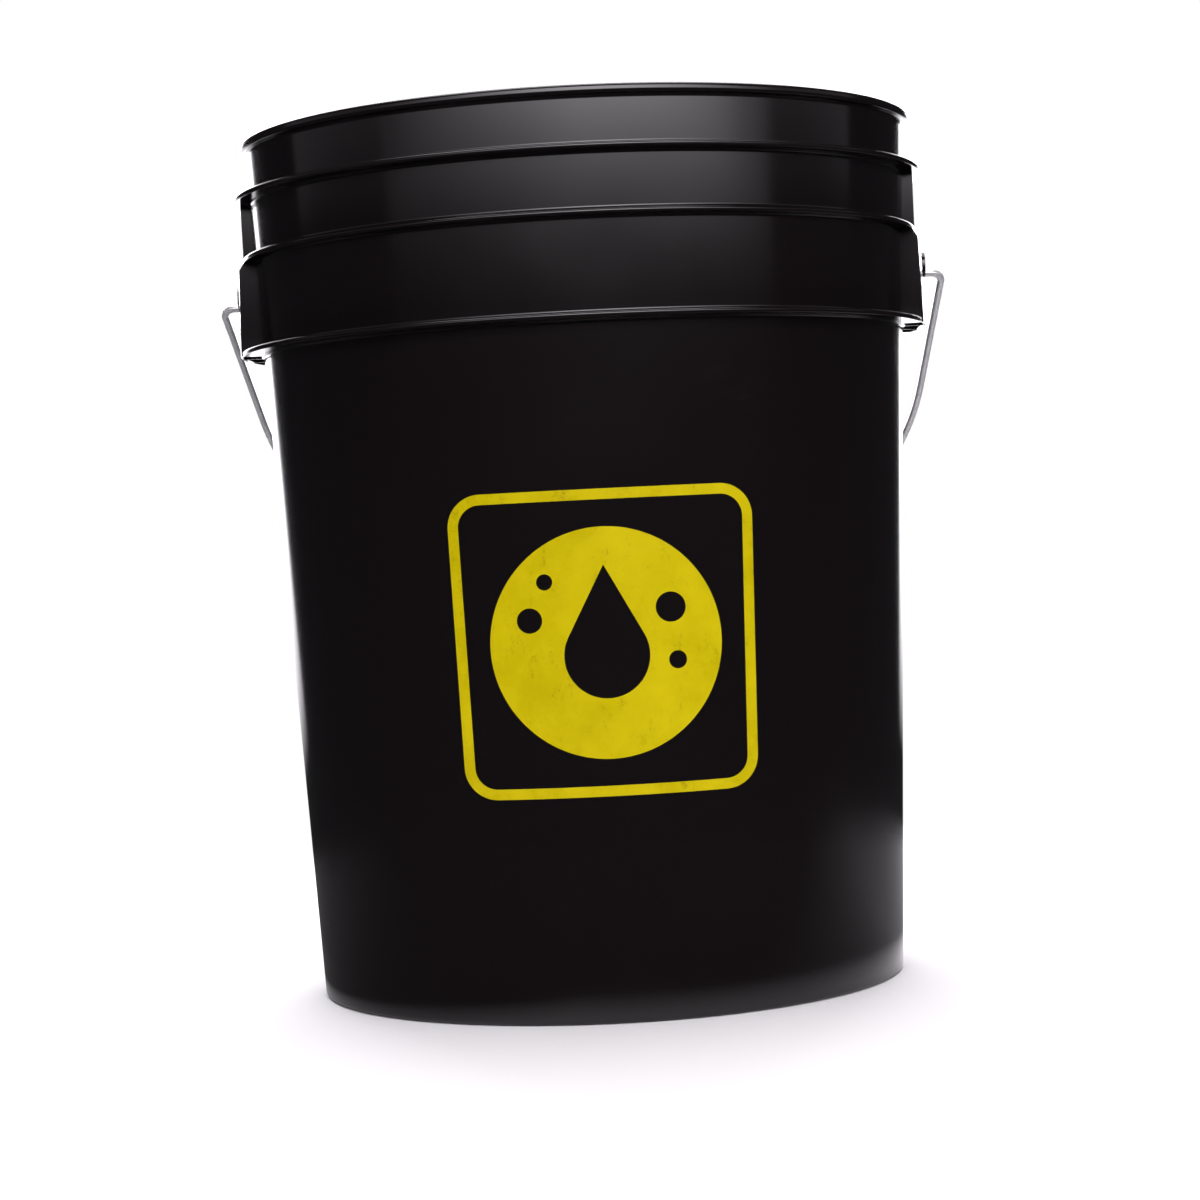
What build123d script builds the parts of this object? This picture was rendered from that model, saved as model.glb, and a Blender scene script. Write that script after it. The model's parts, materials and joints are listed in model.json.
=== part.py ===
"""Wash bucket: a tapered pail with rings and moulded ears, a wire bail, its hand grip and a badge.

Millimetres, +Z up. The origin is on the bucket's axis, in the plane that it stands on. The ears are
on the X axis, the badge faces -Y, and the bail hangs down behind the bucket, on the +Y side.
"""
from math import asin, atan, atan2, cos, hypot, pi, radians, sin, tan
import os

from build123d import *

# ---- bucket: driving dimensions ----
bucket_height = 370.0
base_radius = 127.25          # outside, at the bottom edge
top_radius = 144.1            # outside of the wall's cone, at the rim
wall = 2.2
floor_thickness = 2.4
foot_height = 5.0             # the floor's underside stands this far off the ground
foot_width = 6.0
foot_edge_radius = 1.5
foot_inner_radius = 1.0
foot_draft = 1.0              # how far the foot's inside leans in over its height
floor_corner_radius = 8.0

rim_overhang = 3.0            # how far the rim bead stands proud of the wall
rim_depth = 3.8
rim_edge_radius = 1.3
mouth_edge_radius = 0.7

ring_thickness = 2.2
ring_edge_radius = 0.9
ring_root_radius = 1.2
upper_ring_below_rim = 24.2
middle_ring_below_rim = 49.4
lower_ring_below_rim = 89.6
upper_ring_width = 8.1        # how far each ring stands out of the wall
middle_ring_width = 5.7
lower_ring_width = 9.9

# ---- ears ----
ear_half_angle = 11.8         # degrees each side of the X axis
ear_shoulder_height = 4.5
ear_shoulder_radius = 2.25
ear_top_overhang = 1.9        # past the middle ring
ear_bottom_overhang = 0.3     # past the lower ring
ear_overlap = 1.1             # how far the ear's solid reaches into the wall
pad_proud = 0.9
pad_width = 14.0
pad_height = 10.8
pad_corner_radius = 4.5
pad_above_hole = 3.4
hole_above_lower_ring = 22.5
ear_plate = 3.6               # plastic between the pad's face and the hook pocket
stay_rib_half_spacing = 16.0  # the two upright ribs over each ear
stay_rib_thickness = 2.0
stay_rib_setback = 0.3        # behind the middle ring's edge

# ---- underside ribs ----
base_rib_height = 3.0
base_rib_thickness = 2.0
base_rib_count = 8
base_ring_rib_radius = 60.0
base_hub_radius = 14.0
base_rib_overlap = 1.0        # how far the radial ribs run into the hub

# ---- bail ----
wire_diameter = 3.2
pivot_clearance = 0.08        # radial, round the wire in the ear
hook_length = 9.0             # from the pivot axis to the wire's end
hook_gap = 0.7                # between the hook and the pocket's outer wall
hook_bend_radius = 2.5
hook_swing_clearance = 1.8
arm_clearance = 6.3           # between the pad's face and the wire beside it
arm_bend_radius = 5.0
arm_lean = 5.2                # degrees, arms closing in below the ears
knee_share = 0.5102           # the knee's place between pivot and grip, as a share of the reach
knee_straight = 0.6           # straight wire left between the knee and the shoulder
shoulder_share = 0.7582       # half width at the shoulder's corner, as a share of the arms' at the ears
swing_clearance = 15.4        # between the grip and the rim as the bail swings over
rest_gap = 0.4                # between the hanging grip and the wall

# ---- grip ----
grip_diameter = 20.0
grip_length = 88.0
grip_end_play = 1.0           # at each end, before the wire bends away
grip_bore_clearance = 0.09
grip_end_radius = 3.0
grip_groove_depth = 1.2
grip_groove_width = 17.0
grip_groove_gap = 2.0
grip_groove_count = 4

# ---- badge ----
badge_azimuth = 3.1           # degrees from -Y towards +X
badge_half_angle = 26.45
badge_height = 121.8
badge_centre_height = 152.0
badge_thickness = 0.2
badge_line = 4.2
badge_corner_radius = 13.0
badge_margin = 1.0            # degrees that the film's blank runs past the artwork on each side
disc_radius = 46.0
drop_radius = 17.0
drop_tip = 36.0               # from the centre of the drop's round part to its tip
drop_below_centre = 5.0
bubbles = [(-30.0, 10.0, 5.0), (-23.5, 25.0, 3.2), (28.0, -8.0, 3.6), (26.0, 13.0, 6.0)]

# ---- worked out from the sizes above ----
seam_angle = 45               # where the turned surfaces start and end, clear of ears and badge
taper = (top_radius - base_radius) / bucket_height
wire_radius = wire_diameter / 2
grip_radius = grip_diameter / 2


def wall_radius(height):
    """Outside radius of the plain wall at a height."""
    return base_radius + taper * height


upper_ring_z = bucket_height - upper_ring_below_rim
middle_ring_z = bucket_height - middle_ring_below_rim
lower_ring_z = bucket_height - lower_ring_below_rim
rings = [
    (upper_ring_z, upper_ring_width),
    (middle_ring_z, middle_ring_width),
    (lower_ring_z, lower_ring_width),
]
rim_radius = top_radius + rim_overhang
rim_underside = bucket_height - rim_depth
floor_top = foot_height + floor_thickness
foot_inner_x = base_radius - foot_width
inner_floor_radius = wall_radius(floor_top) - wall
inner_top_radius = top_radius - wall
middle_ring_radius = wall_radius(middle_ring_z) + middle_ring_width
lower_ring_radius = wall_radius(lower_ring_z) + lower_ring_width

pivot_z = lower_ring_z + hole_above_lower_ring
ear_top_radius = middle_ring_radius + ear_top_overhang
ear_bottom_radius = lower_ring_radius + ear_bottom_overhang
pad_face = ear_bottom_radius + pad_proud
pocket_face = pad_face - ear_plate
pocket_half_width = hypot(hook_length, wire_radius) + hook_swing_clearance
pocket_top = pivot_z + pocket_half_width

hook_x = pocket_face - hook_gap - wire_radius
arm_x = pad_face + arm_clearance + wire_radius
bail_reach = hypot(rim_radius, bucket_height - pivot_z) + grip_radius + swing_clearance
straight_half = grip_length / 2 + grip_end_play
knee_drop = knee_share * bail_reach
knee_x = arm_x - tan(radians(arm_lean)) * knee_drop
shoulder_x = shoulder_share * arm_x
shoulder_turn = pi / 2 - atan2(knee_x - shoulder_x, bail_reach - knee_drop)
shoulder_radius = (shoulder_x - straight_half) / tan(shoulder_turn / 2)
knee_turn = pi / 2 - shoulder_turn - radians(arm_lean)
knee_to_shoulder = hypot(knee_x - shoulder_x, bail_reach - knee_drop)
knee_reach = knee_to_shoulder - (shoulder_x - straight_half) - knee_straight
knee_radius = knee_reach / tan(knee_turn / 2)

# The bail hangs until its grip meets the wall: reach*sin(a) = wall radius there + grip radius.
rest_offset = wall_radius(pivot_z) + (grip_radius + rest_gap) * hypot(1, taper)
hang_angle = asin(rest_offset / (bail_reach * hypot(1, taper))) - atan(taper)


def upright_plane(degrees):
    """Plane through the Z axis: local x is radial at this angle from +X, local y is up."""
    angle = radians(degrees)
    return Plane(
        origin=(0, 0, 0),
        x_dir=(cos(angle), sin(angle), 0),
        z_dir=(sin(angle), -cos(angle), 0),
    )


# ---- solids used to shape the body ----
# Everything inside the wall's outer surface, which the ear pockets leave alone.
with BuildPart() as wall_cone:
    with BuildSketch(upright_plane(seam_angle)):
        with BuildLine():
            Polyline((0, 0), (base_radius, 0), (top_radius, bucket_height), (0, bucket_height), close=True)
        make_face()
    revolve(axis=Axis.Z)

# The ear between the middle and the lower ring, with the pad that carries the wire.
with BuildPart() as ear_block:
    ear_bottom = lower_ring_z - ring_thickness / 2
    with BuildSketch(upright_plane(-ear_half_angle)):
        with BuildLine():
            outline = FilletPolyline(
                (wall_radius(middle_ring_z) - ear_overlap, middle_ring_z),
                (middle_ring_radius - ring_edge_radius, middle_ring_z),
                (ear_top_radius, middle_ring_z - ear_shoulder_height),
                (ear_bottom_radius, ear_bottom),
                (wall_radius(ear_bottom) - ear_overlap, ear_bottom),
                radius=[ring_edge_radius, ear_shoulder_radius, ring_edge_radius],
            )
            Line(outline @ 1, outline @ 0)
        make_face()
    revolve(axis=Axis.Z, revolution_arc=2 * ear_half_angle)
    with BuildSketch(Plane.YZ.offset(pocket_face)):
        with Locations((0, pivot_z + pad_above_hole)):
            RectangleRounded(pad_width, pad_height, pad_corner_radius)
    extrude(amount=ear_plate)

# The pair of upright ribs that stiffen the wall over an ear.
with BuildPart() as stay_ribs:
    with BuildSketch(upright_plane(-ear_half_angle)):
        with BuildLine():
            Polyline(
                (wall_radius(middle_ring_z) - ear_overlap, middle_ring_z),
                (middle_ring_radius - stay_rib_setback, middle_ring_z),
                (middle_ring_radius - stay_rib_setback, upper_ring_z),
                (wall_radius(upper_ring_z) - ear_overlap, upper_ring_z),
                close=True,
            )
        make_face()
    revolve(axis=Axis.Z, revolution_arc=2 * ear_half_angle)
    with BuildSketch(Plane.XY.offset(middle_ring_z)):
        with Locations((top_radius, stay_rib_half_spacing), (top_radius, -stay_rib_half_spacing)):
            Rectangle(top_radius / 2, stay_rib_thickness)
    extrude(amount=upper_ring_z - middle_ring_z, mode=Mode.INTERSECT)

# The space behind an ear's plate, open downwards past the lower ring, and the wire's hole.
with BuildPart() as hook_pocket:
    pocket_bottom = lower_ring_z - lower_ring_width
    with BuildSketch(Plane.XY.offset(pocket_bottom)):
        with Locations((pocket_face / 2, 0)):
            Rectangle(pocket_face, 2 * pocket_half_width)
    extrude(amount=pocket_top - pocket_bottom)
    with BuildSketch(Plane.YZ.offset(pocket_face - ear_plate)):
        with Locations((0, pivot_z)):
            Circle(wire_radius + pivot_clearance)
    extrude(amount=2 * ear_plate + pad_proud)
    add(wall_cone.part, mode=Mode.SUBTRACT)


# ---- bucket body ----
def shell_profile():
    """The shell's section as (radius, height, bend), from the floor's top, over the rim, to the foot."""
    corners = [
        (inner_floor_radius, floor_top, floor_corner_radius),
        (inner_top_radius, bucket_height, mouth_edge_radius),
        (rim_radius, bucket_height, rim_edge_radius),
        (rim_radius, rim_underside, rim_edge_radius),
        (wall_radius(rim_underside), rim_underside, ring_root_radius),
    ]
    for height, width in rings:
        top = height + ring_thickness / 2
        bottom = height - ring_thickness / 2
        edge = wall_radius(height) + width
        corners.append((wall_radius(top), top, ring_root_radius))
        corners.append((edge, top, ring_edge_radius))
        corners.append((edge, bottom, ring_edge_radius))
        corners.append((wall_radius(bottom), bottom, ring_root_radius))
    corners.append((base_radius, 0, foot_edge_radius))
    corners.append((foot_inner_x, 0, foot_inner_radius))
    corners.append((foot_inner_x - foot_draft, foot_height, foot_inner_radius))
    return corners


with BuildPart() as bucket_body:
    corners = shell_profile()
    with BuildSketch(upright_plane(seam_angle)):
        with BuildLine():
            section = FilletPolyline(
                (0, floor_top),
                *[(radius, height) for radius, height, bend in corners],
                (0, foot_height),
                radius=[bend for radius, height, bend in corners],
            )
            Line(section @ 1, section @ 0)
        make_face()
    revolve(axis=Axis.Z)
    for turn in (0, 180):
        add(ear_block.part, rotation=(0, 0, turn))
        add(stay_ribs.part, rotation=(0, 0, turn))
    for turn in (0, 180):
        add(hook_pocket.part, rotation=(0, 0, turn), mode=Mode.SUBTRACT)
    rib_start = base_hub_radius - base_rib_overlap
    rib_end = foot_inner_x - foot_draft
    with BuildSketch(Plane.XY.offset(foot_height - base_rib_height)):
        Circle(base_ring_rib_radius + base_rib_thickness / 2)
        Circle(base_ring_rib_radius - base_rib_thickness / 2, mode=Mode.SUBTRACT)
        Circle(base_hub_radius)
        with PolarLocations((rib_start + rib_end) / 2, base_rib_count):
            Rectangle(rib_end - rib_start, base_rib_thickness)
    extrude(amount=base_rib_height + floor_thickness / 2)

# ---- bail wire ----
bail_plane = Plane(
    origin=(0, 0, pivot_z), x_dir=(1, 0, 0), z_dir=(0, cos(hang_angle), sin(hang_angle))
)
half_route = [
    (hook_x, hook_length),
    (hook_x, 0),
    (arm_x, 0),
    (knee_x, knee_drop),
    (shoulder_x, bail_reach),
]
half_bends = [hook_bend_radius, arm_bend_radius, knee_radius, shoulder_radius]

with BuildPart() as bail_wire:
    with BuildLine(bail_plane):
        mirrored = [(-x, y) for x, y in reversed(half_route)]
        route = FilletPolyline(*half_route, *mirrored, radius=half_bends + half_bends[::-1])
    with BuildSketch(Plane(origin=route @ 0, z_dir=route % 0)):
        Circle(wire_radius)
    sweep(path=route)

# ---- bail grip ----
grip_centre = bail_plane.from_local_coords((0, bail_reach, 0))
with BuildPart() as bail_grip:
    with BuildSketch(Plane(origin=grip_centre, x_dir=(1, 0, 0), z_dir=(0, 0, 1))) as grip_section:
        with Locations((0, grip_radius / 2)):
            Rectangle(grip_length, grip_radius)
        groove_radius = (grip_groove_width**2 / 4 + grip_groove_depth**2) / (2 * grip_groove_depth)
        groove_y = grip_radius - grip_groove_depth + groove_radius
        with Locations((0, groove_y)):
            with GridLocations(grip_groove_width + grip_groove_gap, 0, grip_groove_count, 1):
                Circle(groove_radius, mode=Mode.SUBTRACT)
        fillet(grip_section.vertices().group_by(Axis.Y)[-1].sort_by(Axis.X)[0], grip_end_radius)
        fillet(grip_section.vertices().group_by(Axis.Y)[-1].sort_by(Axis.X)[-1], grip_end_radius)
        with Locations((0, 0)):
            Rectangle(grip_length, 2 * (wire_radius + grip_bore_clearance), mode=Mode.SUBTRACT)
    revolve(axis=Axis(grip_centre, (1, 0, 0)))

# ---- printed badge ----
badge_top = badge_centre_height + badge_height / 2
badge_bottom = badge_centre_height - badge_height / 2
badge_normal_turn = badge_azimuth - 90
tangent_turn = asin(drop_radius / drop_tip)

with BuildPart() as printed_badge:
    with BuildSketch(upright_plane(badge_normal_turn - badge_half_angle - badge_margin)):
        with BuildLine():
            Polyline(
                (wall_radius(badge_bottom), badge_bottom),
                (wall_radius(badge_bottom) + badge_thickness, badge_bottom),
                (wall_radius(badge_top) + badge_thickness, badge_top),
                (wall_radius(badge_top), badge_top),
                close=True,
            )
        make_face()
    revolve(axis=Axis.Z, revolution_arc=2 * (badge_half_angle + badge_margin))
    turn = radians(badge_azimuth)
    facing = Plane(
        origin=(0, 0, badge_centre_height),
        x_dir=(cos(turn), sin(turn), 0),
        z_dir=(sin(turn), -cos(turn), 0),
    )
    half_top = wall_radius(badge_top) * sin(radians(badge_half_angle))
    half_bottom = wall_radius(badge_bottom) * sin(radians(badge_half_angle))
    with BuildSketch(facing) as artwork:
        with BuildLine():
            Polyline(
                (-half_bottom, -badge_height / 2),
                (half_bottom, -badge_height / 2),
                (half_top, badge_height / 2),
                (-half_top, badge_height / 2),
                close=True,
            )
        make_face()
        fillet(artwork.vertices(), badge_corner_radius)
        offset(amount=-badge_line, mode=Mode.SUBTRACT)
        Circle(disc_radius)
        with Locations((0, -drop_below_centre)):
            Circle(drop_radius, mode=Mode.SUBTRACT)
            Polygon(
                (0, drop_tip),
                (-drop_radius * cos(tangent_turn), drop_radius * sin(tangent_turn)),
                (drop_radius * cos(tangent_turn), drop_radius * sin(tangent_turn)),
                align=None,
                mode=Mode.SUBTRACT,
            )
        for across, up, bubble_radius in bubbles:
            with Locations((across, up)):
                Circle(bubble_radius, mode=Mode.SUBTRACT)
    extrude(amount=top_radius + lower_ring_width, mode=Mode.INTERSECT)

# ---- export ----
os.makedirs("parts", exist_ok=True)
for label, piece in (
    ("bucket_body", bucket_body),
    ("bail_wire", bail_wire),
    ("bail_grip", bail_grip),
    ("printed_badge", printed_badge),
):
    piece.part.label = label
    export_step(piece.part, f"parts/{label}.step")
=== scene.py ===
# %% [markdown]
# # A wash bucket, from its section to its studio
# The bucket is a black moulded pail with three rings, two moulded ears, a wire bail with a hand
# grip, and a printed badge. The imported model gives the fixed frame: every piece below is drawn in
# that frame, in metres, with the bucket's axis on Z and the floor at Z = 0.

import json
from math import asin, atan2, cos, pi, radians, sin, tan

import bmesh
import bpy
from mathutils import Matrix, Vector

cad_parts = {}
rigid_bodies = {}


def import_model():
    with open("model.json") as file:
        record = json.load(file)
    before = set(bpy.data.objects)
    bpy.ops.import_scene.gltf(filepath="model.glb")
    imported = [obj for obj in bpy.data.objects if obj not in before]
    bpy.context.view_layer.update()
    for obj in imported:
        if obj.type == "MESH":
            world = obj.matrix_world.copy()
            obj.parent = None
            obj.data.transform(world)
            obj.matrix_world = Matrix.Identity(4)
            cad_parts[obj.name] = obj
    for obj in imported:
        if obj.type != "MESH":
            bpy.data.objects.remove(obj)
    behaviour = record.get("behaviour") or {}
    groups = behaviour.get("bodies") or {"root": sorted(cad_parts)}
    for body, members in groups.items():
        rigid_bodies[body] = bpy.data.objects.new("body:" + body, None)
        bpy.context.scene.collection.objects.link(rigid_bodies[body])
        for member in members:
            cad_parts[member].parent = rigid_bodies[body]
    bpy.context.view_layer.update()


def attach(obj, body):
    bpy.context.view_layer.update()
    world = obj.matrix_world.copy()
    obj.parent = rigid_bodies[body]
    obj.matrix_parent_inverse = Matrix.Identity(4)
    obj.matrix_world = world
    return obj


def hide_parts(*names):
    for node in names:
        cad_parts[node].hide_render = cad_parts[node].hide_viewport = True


for leftover in list(bpy.data.objects):
    bpy.data.objects.remove(leftover, do_unlink=True)
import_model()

# %% [markdown]
# ## Sizes
# A bucket is one moulding, so its rings, ears and ribs are placed from the same few numbers: the
# wall's cone, and how far below the rim each ring sits. They are written once here, in metres.

# %% Sizes of the bucket
HEIGHT = 0.370
BASE_RADIUS = 0.12725
TOP_RADIUS = 0.1441
WALL = 0.0022
FLOOR_TOP = 0.0074
FOOT_HEIGHT = 0.005
FOOT_INNER = 0.12125
RIB_FOOT = 0.002
RIB_RING = 0.060
HUB_RADIUS = 0.014
RIM_RADIUS = 0.1471
RIM_DEPTH = 0.0038
RING_THICKNESS = 0.0022
RING_LEAN = 0.0003
RINGS = [(0.3458, 0.0081), (0.3206, 0.0057), (0.2804, 0.0099)]
PIVOT_HEIGHT = 0.3029
POCKET_FACE = 0.14752
POCKET_HALF_WIDTH = 0.01094
WIRE_RADIUS = 0.0016


def wall_radius(height):
    """Outside radius of the plain wall at a height."""
    return BASE_RADIUS + (TOP_RADIUS - BASE_RADIUS) / HEIGHT * height


def ring_radius(ring):
    """Outside radius of one of the rings."""
    height, width = ring
    return wall_radius(height) + width


print("ring radii", [round(ring_radius(ring), 5) for ring in RINGS])

# %% [markdown]
# ## Writing node trees like sums
# A material or a Geometry Nodes tree is easier to read as a sum than as a list of links. The small
# class below wraps one socket, so that `a * 2 + b` adds the Math nodes for it, and `node` adds any
# other node: its kind, its settings and then its inputs.

# %% The socket that can be summed
class Flow:
    """One output in a node tree, which can be used in sums."""

    def __init__(self, tree, socket):
        self.tree = tree
        self.socket = socket

    def out(self, name):
        return Flow(self.tree, self.socket.node.outputs[name])

    def sum(self, operation, first, second=None):
        return node(self.tree, "ShaderNodeMath", {"operation": operation}, {0: first, 1: second})

    def __add__(self, other):
        return self.sum("ADD", self, other)

    def __sub__(self, other):
        return self.sum("SUBTRACT", self, other)

    def __mul__(self, other):
        return self.sum("MULTIPLY", self, other)

    def __truediv__(self, other):
        return self.sum("DIVIDE", self, other)

    def __rtruediv__(self, other):
        return self.sum("DIVIDE", other, self)

    def __lt__(self, other):
        return self.sum("LESS_THAN", self, other)

    def __abs__(self):
        return self.sum("ABSOLUTE", self)


def join(tree, socket, value):
    """Links a Flow to an input, or writes a plain value on it."""
    if isinstance(value, Flow):
        tree.links.new(value.socket, socket)
    elif value is not None:
        socket.default_value = value


def node(tree, kind, settings=None, inputs=None, out=0):
    """Adds a node: its kind, its settings, its inputs by name or number. Returns one output."""
    made = tree.nodes.new(kind)
    for key, value in (settings or {}).items():
        setattr(made, key, value)
    for key, value in (inputs or {}).items():
        join(tree, made.inputs[key], value)
    return Flow(tree, made.outputs[out])


def blend_colour(tree, amount, first, second):
    """A colour between two colours."""
    return node(tree, "ShaderNodeMix", {"data_type": "RGBA"}, {0: amount, 6: first, 7: second}, 2)


def spread(tree, value, low, high, to_low=0.0, to_high=1.0):
    """Stretches low..high to a new range, and holds it there."""
    limits = {"From Min": low, "From Max": high, "To Min": to_low, "To Max": to_high}
    return node(tree, "ShaderNodeMapRange", {"clamp": True}, {"Value": value, **limits})


def stretched(tree, place, sizes):
    """A place scaled by a different amount along each axis."""
    return node(tree, "ShaderNodeVectorMath", {"operation": "MULTIPLY"}, {0: place, 1: sizes})


def noise(tree, place, scale, detail=2.0, rough=0.5):
    """Soft random patches, about 1/scale metres across."""
    return node(
        tree,
        "ShaderNodeTexNoise",
        {"noise_dimensions": "3D"},
        {"Vector": place, "Scale": scale, "Detail": detail, "Roughness": rough},
    )


# %% [markdown]
# ## Black moulded plastic
# The pail is carbon-black polyethylene from a textured steel mould. The colour is nearly black
# everywhere, so what the eye reads is the gloss: a fine grain that breaks up highlights, a slow
# waviness where the wall shrank as it cooled, and hair-thin scuffs from being stacked. The heights
# are given in metres, so that each mark has its real size.

# %% A moulded plastic
def new_material(name):
    """An empty material: its tree, its shader and the object coordinates."""
    made = bpy.data.materials.new(name)
    made.use_nodes = True
    tree = made.node_tree
    shader = tree.nodes["Principled BSDF"]
    place = node(tree, "ShaderNodeTexCoord", out="Object")
    return made, tree, shader, place


def bump(tree, shader, height):
    """Raises the surface by a height in metres."""
    raised = node(tree, "ShaderNodeBump", None, {"Strength": 1.0, "Distance": 1.0, "Height": height})
    join(tree, shader.inputs["Normal"], raised)


def hairlines(tree, place, across, turn):
    """Thin scratches in patches: stretched noise, cut to its crests."""
    by_angles = {"rotation_type": "EULER_XYZ"}
    turned = node(tree, "ShaderNodeVectorRotate", by_angles, {"Vector": place, "Rotation": turn})
    lines = noise(tree, stretched(tree, turned, (across / 60, across / 60, across)), 1.0, 1.0)
    crest = spread(tree, abs(lines - 0.5), 0.0, 0.008, 1.0, 0.0)
    patch = spread(tree, noise(tree, turned, 23.0), 0.60, 0.76)
    return crest * patch


def moulded_plastic(name, dark, worn, roughness, grain_height, wave_height):
    """Black plastic with grain, slow waviness, scuffs and a trace of dust."""
    made, tree, shader, place = new_material(name)
    cloud = noise(tree, place, 14.0, 3.0)
    grain = noise(tree, place, 1500.0, 2.0)
    wave = noise(tree, stretched(tree, place, (1.0, 1.0, 0.35)), 30.0, 1.0)
    scuffs = hairlines(tree, place, 900.0, (0.2, 0.4, 0.1)) + hairlines(tree, place, 1100.0, (1.1, 0.3, 0.7))
    dust = spread(tree, noise(tree, place, 420.0, 4.0, 0.7), 0.62, 0.80) * spread(tree, cloud, 0.45, 0.75)
    join(tree, shader.inputs["Base Color"], blend_colour(tree, dust * 0.35 + scuffs * 0.2, dark, worn))
    varied = spread(tree, cloud, 0.25, 0.75, roughness - 0.02, roughness + 0.03)
    join(tree, shader.inputs["Roughness"], varied + scuffs * 0.10 + dust * 0.08)
    bump(tree, shader, grain * grain_height + wave * wave_height - scuffs * 0.000003)
    shader.inputs["IOR"].default_value = 1.5
    return made


BODY_BLACK = (0.0052, 0.0038, 0.0044, 1.0)
BODY_WORN = (0.024, 0.022, 0.023, 1.0)
body_plastic = moulded_plastic("pail_black", BODY_BLACK, BODY_WORN, 0.13, 0.0000012, 0.00010)
grip_plastic = moulded_plastic("grip_black", (0.009, 0.009, 0.0095, 1.0), BODY_WORN, 0.42, 0.000008, 0.0001)
print("plastics", body_plastic.name, grip_plastic.name)

# %% [markdown]
# ## Drawn wire
# Bail wire is steel drawn through a die, then zinc plated. The die leaves fine lines along the
# wire, so the pattern must follow the wire, not the room: it reads two attributes that the wire's
# tree stores, how far along and which way round each point lies.

# %% The wire's finish
wire_finish, tree, shader, place = new_material("zinc_wire")
along = node(tree, "ShaderNodeAttribute", {"attribute_name": "along"}, out="Fac")
around = node(tree, "ShaderNodeAttribute", {"attribute_name": "around"}, out="Vector")
turned = node(tree, "ShaderNodeSeparateXYZ", None, {"Vector": around})
drawn_place = node(
    tree,
    "ShaderNodeCombineXYZ",
    None,
    {"X": turned.out("X") * 14.0, "Y": turned.out("Y") * 14.0, "Z": along * 9.0},
)
drawn = noise(tree, drawn_place, 1.0, 3.0, 0.6)
bloom = noise(tree, place, 160.0, 3.0)
BRIGHT_ZINC = (0.82, 0.82, 0.83, 1.0)
DULL_ZINC = (0.66, 0.67, 0.69, 1.0)
zinc = blend_colour(tree, spread(tree, bloom, 0.35, 0.7), BRIGHT_ZINC, DULL_ZINC)
join(tree, shader.inputs["Base Color"], zinc)
join(tree, shader.inputs["Roughness"], spread(tree, drawn * 0.5 + bloom * 0.5, 0.3, 0.7, 0.22, 0.38))
bump(tree, shader, drawn * 0.000012)
shader.inputs["Metallic"].default_value = 0.55
print("wire finish", wire_finish.name)

# %% [markdown]
# ## Screen-printed ink
# The badge is one pass of opaque yellow ink on black. Ink on polyethylene never lies quite even:
# it is thinner in soft patches, where the black shows through as a duller yellow, and it leaves
# pinholes and a few rubbed spots.

# %% The ink
ink, tree, shader, place = new_material("yellow_ink")
patches = noise(tree, place, 55.0, 4.0, 0.6)
speckle = noise(tree, place, 1250.0, 3.0, 0.6)
rubbed = noise(tree, stretched(tree, place, (1.0, 1.0, 0.4)), 210.0, 5.0, 0.7)
DEEP_YELLOW = (0.46, 0.375, 0.001, 1.0)
FULL_YELLOW = (0.56, 0.46, 0.002, 1.0)
WORN_YELLOW = (0.12, 0.085, 0.006, 1.0)
full = blend_colour(tree, spread(tree, patches, 0.32, 0.68), DEEP_YELLOW, FULL_YELLOW)
thin = spread(tree, rubbed * 0.6 + speckle * 0.4, 0.56, 0.68) * spread(tree, patches, 0.30, 0.60, 0.9, 0.25)
join(tree, shader.inputs["Base Color"], blend_colour(tree, thin, full, WORN_YELLOW))
join(tree, shader.inputs["Roughness"], spread(tree, patches, 0.3, 0.7, 0.24, 0.32))
bump(tree, shader, speckle * 0.000004 - thin * 0.000006)
shader.inputs["Specular IOR Level"].default_value = 0.12
print("ink", ink.name)

# %% [markdown]
# ## Turning a section
# A pail, its rim, its rings and its foot all share one axis, so one section says everything about
# them. A lathe-like tree is the honest way to make it: a flat grid is wrapped round the axis, and
# each of its rows takes its radius and height from one point of the section. The rings' edges are
# small arcs, with one more point a little way beyond each arc, so that the long flat stretches
# shade flat.

# %% Rounded sections
def rounded(corners, steps=4, beside=0.0003, closed=False):
    """Points along a line of corners (across, up, bend), with each corner turned into an arc."""
    if closed:
        corners = [corners[-1], *corners, corners[0]]
        points = []
    else:
        points = [Vector(corners[0][:2])]
    for before, here, after in zip(corners, corners[1:], corners[2:]):
        corner = Vector(here[:2])
        back = Vector(before[:2]) - corner
        ahead = Vector(after[:2]) - corner
        room = min(back.length, ahead.length)
        back.normalize()
        ahead.normalize()
        half = back.angle(ahead) / 2
        bend = here[2]
        reach = bend / tan(half)
        centre = corner + (back + ahead).normalized() * bend / sin(half)
        start = corner + back * reach - centre
        end = corner + ahead * reach - centre
        turn = atan2(start.cross(end), start.dot(end))
        if beside and reach + 2 * beside < room:
            points.append(corner + back * (reach + beside))
        for step in range(steps + 1):
            points.append(centre + Matrix.Rotation(turn * step / steps, 2) @ start)
        if beside and reach + 2 * beside < room:
            points.append(corner + ahead * (reach + beside))
    if not closed:
        points.append(Vector(corners[-1][:2]))
    return points


print("a rounded corner has", len(rounded([(0, 0), (1, 0, 0.1), (1, 1)])), "points")

# %% The turning tree
def new_tree(name, inputs):
    """A Geometry Nodes tree with named inputs: each is a name, a socket type and a value."""
    tree = bpy.data.node_groups.new(name, "GeometryNodeTree")
    tree.interface.new_socket("Geometry", in_out="INPUT", socket_type="NodeSocketGeometry")
    for label, kind, value in inputs:
        socket = tree.interface.new_socket(label, in_out="INPUT", socket_type=kind)
        if value is not None:
            socket.default_value = value
    tree.interface.new_socket("Geometry", in_out="OUTPUT", socket_type="NodeSocketGeometry")
    return tree, node(tree, "NodeGroupInput")


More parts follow.
